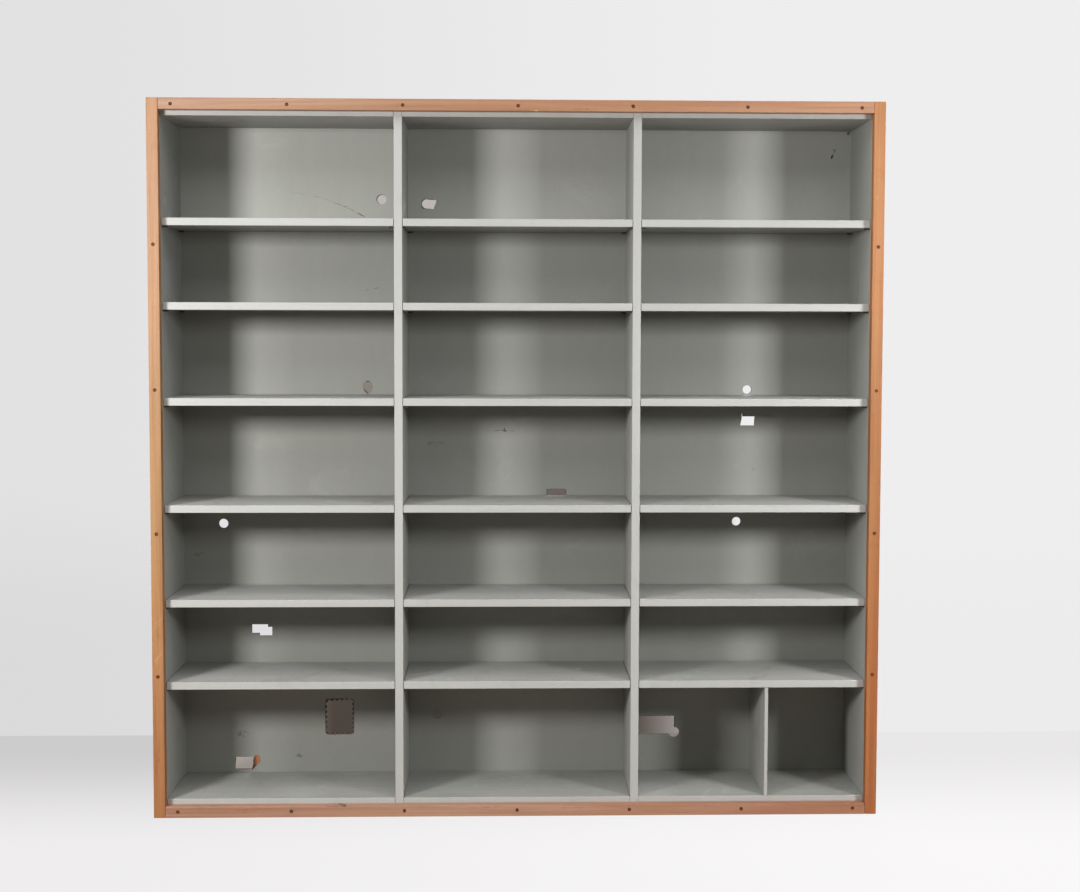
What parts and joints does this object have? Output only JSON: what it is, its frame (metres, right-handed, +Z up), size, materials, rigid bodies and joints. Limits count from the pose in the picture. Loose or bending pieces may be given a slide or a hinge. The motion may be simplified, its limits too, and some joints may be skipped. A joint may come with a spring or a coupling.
{
  "type": "bookcase",
  "caption": "Wide, tall bookcase: grey painted case in bays with loose shelves on pegs, a screwed-on front frame of solid wood and a thin back with cable holes.",
  "frame": {"origin": "floor level under the middle of the case, in plan the centre of the overall box", "axes": "+X to the right as seen from the front, +Y from the front frame to the back sheets, +Z up"},
  "size_m": [2.22, 0.301, 2.1832],
  "materials": {
    "frame_wood": "oiled solid wood, satin",
    "grey_paint": "satin grey paint over board",
    "shelf_paint": "satin grey paint over board, worn on top",
    "back_paint": "matt grey paint over thin hardboard",
    "batten_wood": "bare sawn softwood",
    "screw_brass": "tarnished"
  },
  "bodies": {
    "case": {"frame_stile_left": "frame_wood", "frame_stile_right": "frame_wood", "frame_rail_top": "frame_wood", "frame_rail_bottom": "frame_wood", "side_left": "grey_paint", "side_right": "grey_paint", "top_panel": "grey_paint", "bottom_panel": "grey_paint", "divider_1": "grey_paint", "divider_2": "grey_paint", "partition": "grey_paint", "back_sheet_1": "back_paint", "back_sheet_2": "back_paint", "back_sheet_3": "back_paint", "batten_top_front": "batten_wood", "batten_top_rear": "batten_wood", "batten_bottom_front": "batten_wood", "batten_bottom_rear": "batten_wood", "screw_left_1": "screw_brass", "screw_left_2": "screw_brass", "screw_left_3": "screw_brass", "screw_left_4": "screw_brass", "screw_right_1": "screw_brass", "screw_right_2": "screw_brass", "screw_right_3": "screw_brass", "screw_right_4": "screw_brass", "screw_top_1": "screw_brass", "screw_top_2": "screw_brass", "screw_top_3": "screw_brass", "screw_top_4": "screw_brass", "screw_top_5": "screw_brass", "screw_top_6": "screw_brass", "screw_top_7": "screw_brass", "screw_bottom_1": "screw_brass", "screw_bottom_2": "screw_brass", "screw_bottom_3": "screw_brass", "screw_bottom_4": "screw_brass", "screw_bottom_5": "screw_brass", "screw_bottom_6": "screw_brass", "screw_bottom_7": "screw_brass"},
    "shelf_bay1_row1": {"shelf_bay1_row1": "shelf_paint"},
    "shelf_bay1_row2": {"shelf_bay1_row2": "shelf_paint"},
    "shelf_bay1_row3": {"shelf_bay1_row3": "shelf_paint"},
    "shelf_bay1_row4": {"shelf_bay1_row4": "shelf_paint"},
    "shelf_bay1_row5": {"shelf_bay1_row5": "shelf_paint"},
    "shelf_bay1_row6": {"shelf_bay1_row6": "shelf_paint"},
    "shelf_bay2_row1": {"shelf_bay2_row1": "shelf_paint"},
    "shelf_bay2_row2": {"shelf_bay2_row2": "shelf_paint"},
    "shelf_bay2_row3": {"shelf_bay2_row3": "shelf_paint"},
    "shelf_bay2_row4": {"shelf_bay2_row4": "shelf_paint"},
    "shelf_bay2_row5": {"shelf_bay2_row5": "shelf_paint"},
    "shelf_bay2_row6": {"shelf_bay2_row6": "shelf_paint"},
    "shelf_bay3_row1": {"shelf_bay3_row1": "shelf_paint"},
    "shelf_bay3_row2": {"shelf_bay3_row2": "shelf_paint"},
    "shelf_bay3_row3": {"shelf_bay3_row3": "shelf_paint"},
    "shelf_bay3_row4": {"shelf_bay3_row4": "shelf_paint"},
    "shelf_bay3_row5": {"shelf_bay3_row5": "shelf_paint"},
    "shelf_bay3_row6": {"shelf_bay3_row6": "shelf_paint"}
  },
  "joints": [
    {"name": "slide_bay1_row1", "type": "slide", "parent": "case", "child": "shelf_bay1_row1", "axis": [0, -1, 0], "range_m": [0, 0.3]},
    {"name": "slide_bay1_row2", "type": "slide", "parent": "case", "child": "shelf_bay1_row2", "axis": [0, -1, 0], "range_m": [0, 0.3]},
    {"name": "slide_bay1_row3", "type": "slide", "parent": "case", "child": "shelf_bay1_row3", "axis": [0, -1, 0], "range_m": [0, 0.3]},
    {"name": "slide_bay1_row4", "type": "slide", "parent": "case", "child": "shelf_bay1_row4", "axis": [0, -1, 0], "range_m": [0, 0.3]},
    {"name": "slide_bay1_row5", "type": "slide", "parent": "case", "child": "shelf_bay1_row5", "axis": [0, -1, 0], "range_m": [0, 0.3]},
    {"name": "slide_bay1_row6", "type": "slide", "parent": "case", "child": "shelf_bay1_row6", "axis": [0, -1, 0], "range_m": [0, 0.3]},
    {"name": "slide_bay2_row1", "type": "slide", "parent": "case", "child": "shelf_bay2_row1", "axis": [0, -1, 0], "range_m": [0, 0.3]},
    {"name": "slide_bay2_row2", "type": "slide", "parent": "case", "child": "shelf_bay2_row2", "axis": [0, -1, 0], "range_m": [0, 0.3]},
    {"name": "slide_bay2_row3", "type": "slide", "parent": "case", "child": "shelf_bay2_row3", "axis": [0, -1, 0], "range_m": [0, 0.3]},
    {"name": "slide_bay2_row4", "type": "slide", "parent": "case", "child": "shelf_bay2_row4", "axis": [0, -1, 0], "range_m": [0, 0.3]},
    {"name": "slide_bay2_row5", "type": "slide", "parent": "case", "child": "shelf_bay2_row5", "axis": [0, -1, 0], "range_m": [0, 0.3]},
    {"name": "slide_bay2_row6", "type": "slide", "parent": "case", "child": "shelf_bay2_row6", "axis": [0, -1, 0], "range_m": [0, 0.3]},
    {"name": "slide_bay3_row1", "type": "slide", "parent": "case", "child": "shelf_bay3_row1", "axis": [0, -1, 0], "range_m": [0, 0.3]},
    {"name": "slide_bay3_row2", "type": "slide", "parent": "case", "child": "shelf_bay3_row2", "axis": [0, -1, 0], "range_m": [0, 0.3]},
    {"name": "slide_bay3_row3", "type": "slide", "parent": "case", "child": "shelf_bay3_row3", "axis": [0, -1, 0], "range_m": [0, 0.3]},
    {"name": "slide_bay3_row4", "type": "slide", "parent": "case", "child": "shelf_bay3_row4", "axis": [0, -1, 0], "range_m": [0, 0.3]},
    {"name": "slide_bay3_row5", "type": "slide", "parent": "case", "child": "shelf_bay3_row5", "axis": [0, -1, 0], "range_m": [0, 0.3]},
    {"name": "slide_bay3_row6", "type": "slide", "parent": "case", "child": "shelf_bay3_row6", "axis": [0, -1, 0], "range_m": [0, 0.3]}
  ]
}
